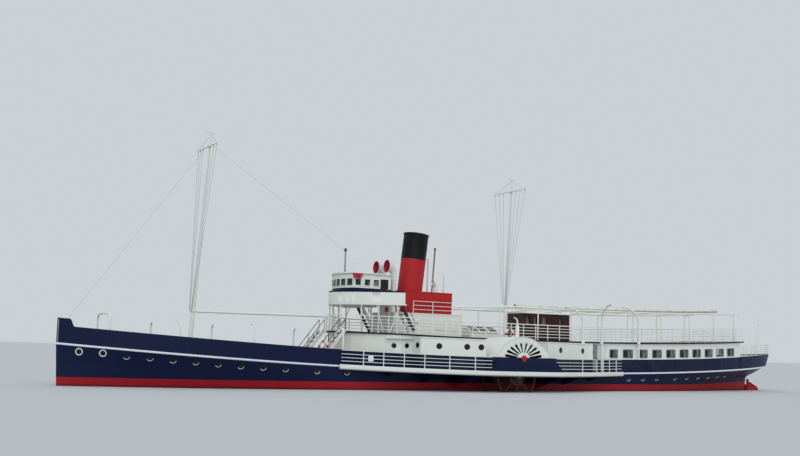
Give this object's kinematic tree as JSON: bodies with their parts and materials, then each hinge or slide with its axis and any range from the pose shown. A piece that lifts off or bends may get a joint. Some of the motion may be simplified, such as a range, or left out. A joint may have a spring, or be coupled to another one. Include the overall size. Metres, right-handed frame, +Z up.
{
  "type": "1:2 scale model of an excursion paddle steamer",
  "caption": "Side-wheel excursion steamer at 1:2 scale: long hull, sponsons with fan-fronted paddle boxes, bridge, raked funnel, two masts, awning frame and davits, with working joints.",
  "frame": {"origin": "on the waterline plane, on the centreline, amidships (half way between stem and stern along the deck)", "axes": "+X towards the bow, +Y to port, +Z up"},
  "size_m": [29.725, 6.98, 8.6905],
  "materials": {
    "hull_navy": "gloss paint on plating",
    "hull_red": "boot-top paint on plating",
    "funnel_red": "gloss paint on plating",
    "white_paint": "gloss paint on plating",
    "deck_planking": "worn planking",
    "mahogany": "varnish",
    "grey_paint": "satin paint",
    "float_red": "worn paint",
    "machinery": "satin",
    "canvas": "rolled canvas",
    "spar_white": "gloss paint on tube"
  },
  "bodies": {
    "ship": {"hull_bottom": "hull_red", "keel": "hull_red", "hull_topsides": "hull_navy", "bulwark_fore": "hull_navy", "bulwark_aft": "hull_navy", "paddle_box_port": "hull_navy", "paddle_box_starboard": "hull_navy", "strake_fore": "white_paint", "strake_aft": "white_paint", "main_deckhouse_port": "white_paint", "main_deckhouse_starboard": "white_paint", "aft_saloon": "white_paint", "sponson_port": "white_paint", "sponson_starboard": "white_paint", "bridge_deck": "white_paint", "bridge_bulwark": "white_paint", "wheelhouse": "white_paint", "wheelhouse_roof": "white_paint", "funnel_casing": "white_paint", "skylight": "white_paint", "deck_saloon_roof": "white_paint", "cowl_port": "white_paint", "cowl_starboard": "white_paint", "cowl_small": "white_paint", "fore_stairs_port": "white_paint", "fore_stairs_starboard": "white_paint", "bridge_stairs_port": "white_paint", "bridge_stairs_starboard": "white_paint", "promenade_railing_port": "spar_white", "promenade_railing_starboard": "spar_white", "foremast": "spar_white", "mainmast": "spar_white", "fore_ridge_spar": "spar_white", "awning_ridge": "spar_white", "awning_side_port": "spar_white", "awning_side_starboard": "spar_white", "promenade_deck": "deck_planking", "deck_saloon": "mahogany", "funnel": "funnel_red", "uptake_casing": "funnel_red", "engine_and_boiler": "machinery", "awning_roll": "canvas"},
    "paddle_shafting": {"paddle_wheel_port": "float_red", "paddle_wheel_starboard": "float_red", "paddle_shaft": "machinery"},
    "rudder_blade": {"rudder": "hull_red"},
    "helm": {"helm_wheel": "mahogany"},
    "saloon_door": {"deck_saloon_door": "mahogany"},
    "cab_door_port": {"wheelhouse_door_port": "mahogany"},
    "hull_door_port": {"side_door_port": "grey_paint"},
    "engine_skylight_port": {"skylight_lid_port": "white_paint"},
    "boat_davit_fore_port": {"davit_fore_port": "spar_white"},
    "boat_davit_middle_port": {"davit_middle_port": "spar_white"},
    "boat_davit_aft_port": {"davit_aft_port": "spar_white"},
    "cab_door_starboard": {"wheelhouse_door_starboard": "mahogany"},
    "hull_door_starboard": {"side_door_starboard": "grey_paint"},
    "engine_skylight_starboard": {"skylight_lid_starboard": "white_paint"},
    "boat_davit_fore_starboard": {"davit_fore_starboard": "spar_white"},
    "boat_davit_middle_starboard": {"davit_middle_starboard": "spar_white"},
    "boat_davit_aft_starboard": {"davit_aft_starboard": "spar_white"}
  },
  "joints": [
    {"name": "paddle_wheels_turn", "type": "hinge", "parent": "ship", "child": "paddle_shafting", "pos_m": [0.45, 0, 0.51], "axis": [0, 1, 0], "continuous": true},
    {"name": "rudder_turn", "type": "hinge", "parent": "ship", "child": "rudder_blade", "pos_m": [-14.11, 0, -0.2], "axis": [0, 0, 1], "range_deg": [-35, 35]},
    {"name": "helm_turn", "type": "hinge", "parent": "ship", "child": "helm", "pos_m": [4.93, 0, 3.215], "axis": [1, 0, 0], "range_deg": [-350, 350]},
    {"name": "saloon_door_swing", "type": "hinge", "parent": "ship", "child": "saloon_door", "pos_m": [-1.8525, 0.194, 2.2], "axis": [0, 0, 1], "range_deg": [0, 100]},
    {"name": "cab_door_port_swing", "type": "hinge", "parent": "ship", "child": "cab_door_port", "pos_m": [4.284, 0.75, 3.15], "axis": [0, 0, -1], "range_deg": [0, 100]},
    {"name": "hull_door_port_swing", "type": "hinge", "parent": "ship", "child": "hull_door_port", "pos_m": [-3.686, 1.835, 1.175], "axis": [0, 0, -1], "range_deg": [0, 95]},
    {"name": "skylight_port_lift", "type": "hinge", "parent": "ship", "child": "engine_skylight_port", "pos_m": [-0.15, 0.045, 2.1725], "axis": [1, 0, 0], "range_deg": [0, 60]},
    {"name": "davit_fore_port_swing", "type": "hinge", "parent": "ship", "child": "boat_davit_fore_port", "pos_m": [-3.315, 1.98, 2], "axis": [0, 0, 1], "range_deg": [0, 90]},
    {"name": "davit_middle_port_swing", "type": "hinge", "parent": "ship", "child": "boat_davit_middle_port", "pos_m": [-4.19, 1.98, 2], "axis": [0, 0, 1], "range_deg": [-12, 108]},
    {"name": "davit_aft_port_swing", "type": "hinge", "parent": "ship", "child": "boat_davit_aft_port", "pos_m": [-5.98, 1.98, 2], "axis": [0, 0, 1], "range_deg": [0, 120]},
    {"name": "cab_door_starboard_swing", "type": "hinge", "parent": "ship", "child": "cab_door_starboard", "pos_m": [4.284, -0.75, 3.15], "axis": [0, 0, 1], "range_deg": [0, 100]},
    {"name": "hull_door_starboard_swing", "type": "hinge", "parent": "ship", "child": "hull_door_starboard", "pos_m": [-3.686, -1.835, 1.175], "axis": [0, 0, 1], "range_deg": [0, 95]},
    {"name": "skylight_starboard_lift", "type": "hinge", "parent": "ship", "child": "engine_skylight_starboard", "pos_m": [-0.15, -0.045, 2.1725], "axis": [-1, 0, 0], "range_deg": [0, 60]},
    {"name": "davit_fore_starboard_swing", "type": "hinge", "parent": "ship", "child": "boat_davit_fore_starboard", "pos_m": [-3.315, -1.98, 2], "axis": [0, 0, -1], "range_deg": [0, 90]},
    {"name": "davit_middle_starboard_swing", "type": "hinge", "parent": "ship", "child": "boat_davit_middle_starboard", "pos_m": [-4.19, -1.98, 2], "axis": [0, 0, -1], "range_deg": [-12, 108]},
    {"name": "davit_aft_starboard_swing", "type": "hinge", "parent": "ship", "child": "boat_davit_aft_starboard", "pos_m": [-5.98, -1.98, 2], "axis": [0, 0, -1], "range_deg": [0, 120]}
  ],
  "couplings": [
    {"joint": "helm_turn", "follows": "rudder_turn", "ratio": 10}
  ]
}
